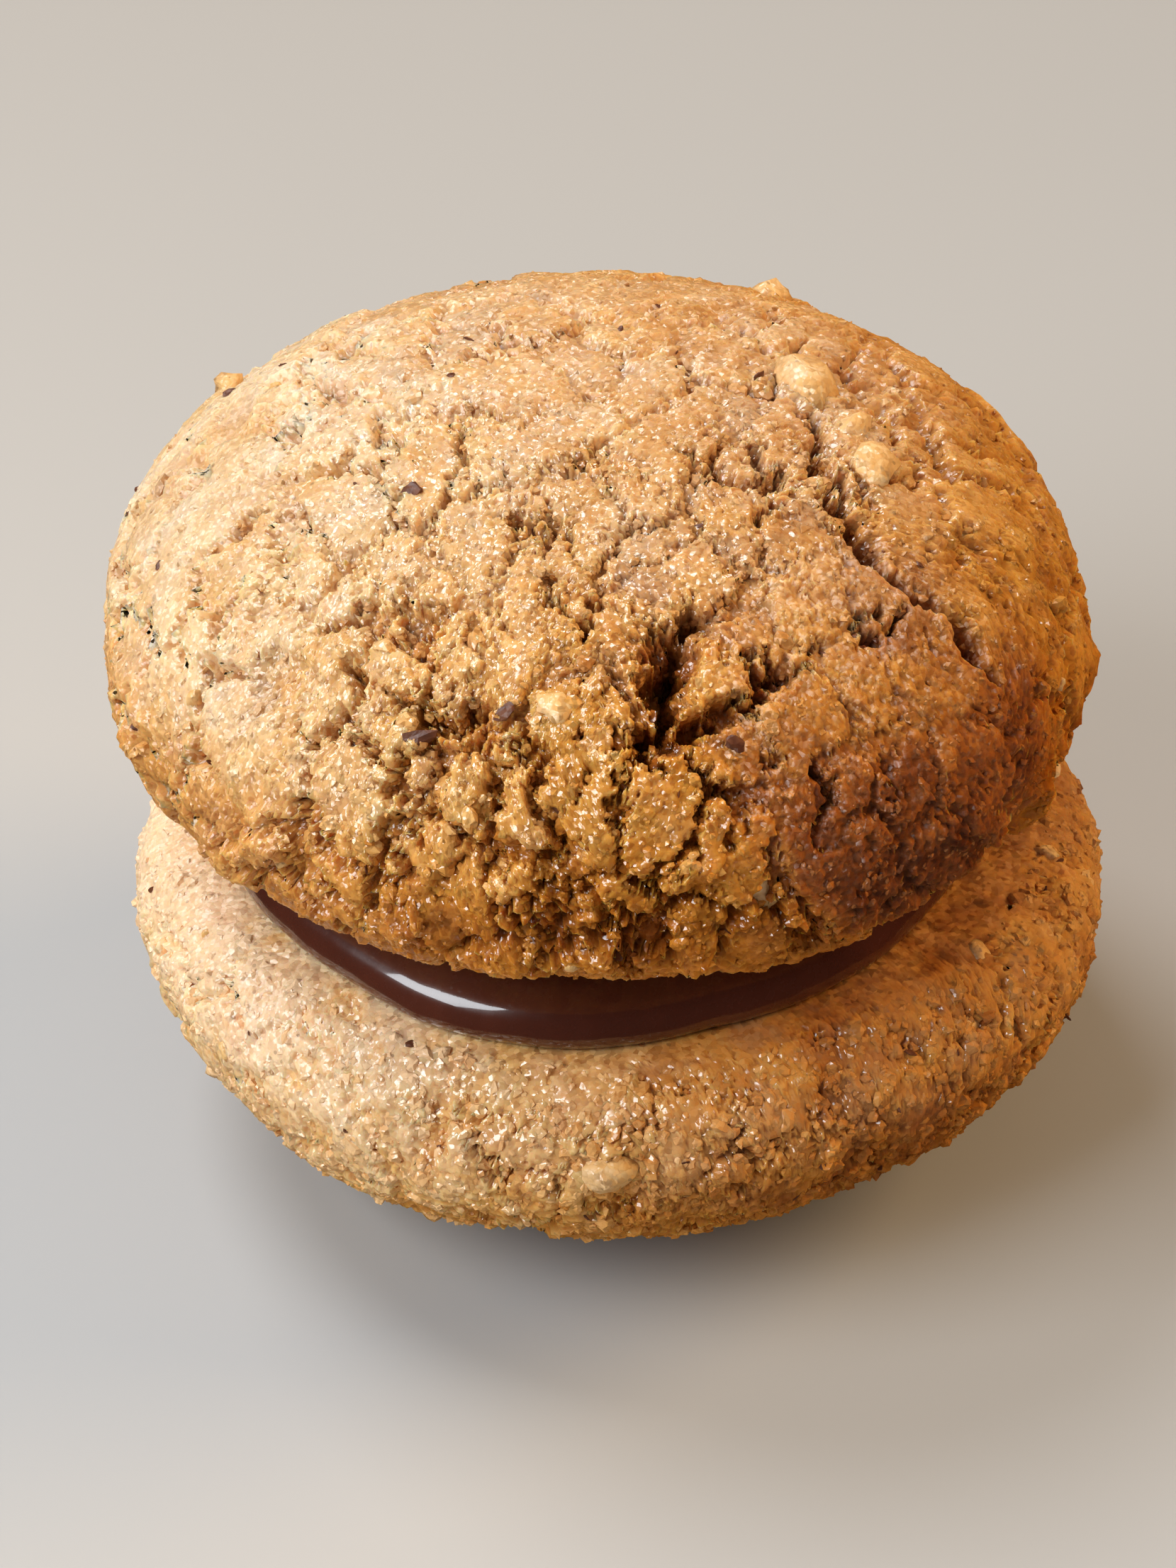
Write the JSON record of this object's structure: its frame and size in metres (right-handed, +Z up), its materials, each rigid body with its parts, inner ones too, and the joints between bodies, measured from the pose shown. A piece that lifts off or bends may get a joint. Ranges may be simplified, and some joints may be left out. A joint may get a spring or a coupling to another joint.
{
  "type": "hazelnut sandwich cookie",
  "caption": "Round sandwich cookie: cracked, domed nut biscuits held flat face to flat face by a disc of dark chocolate.",
  "frame": {"origin": "on the table, under the middle of the cookie", "axes": "+Z up through the filling and both domes; -Y is the side that faces the viewer"},
  "size_m": [0.0353, 0.0352, 0.0284],
  "materials": {
    "browned_crumb": "golden brown baked nut crumb with a slightly oily glint",
    "pale_crumb": "light golden baked nut crumb, matte",
    "chocolate": "glossy set dark chocolate"
  },
  "bodies": {
    "root": {"top_cookie": "browned_crumb", "chocolate_filling": "chocolate", "bottom_cookie": "pale_crumb"}
  },
  "joints": []
}
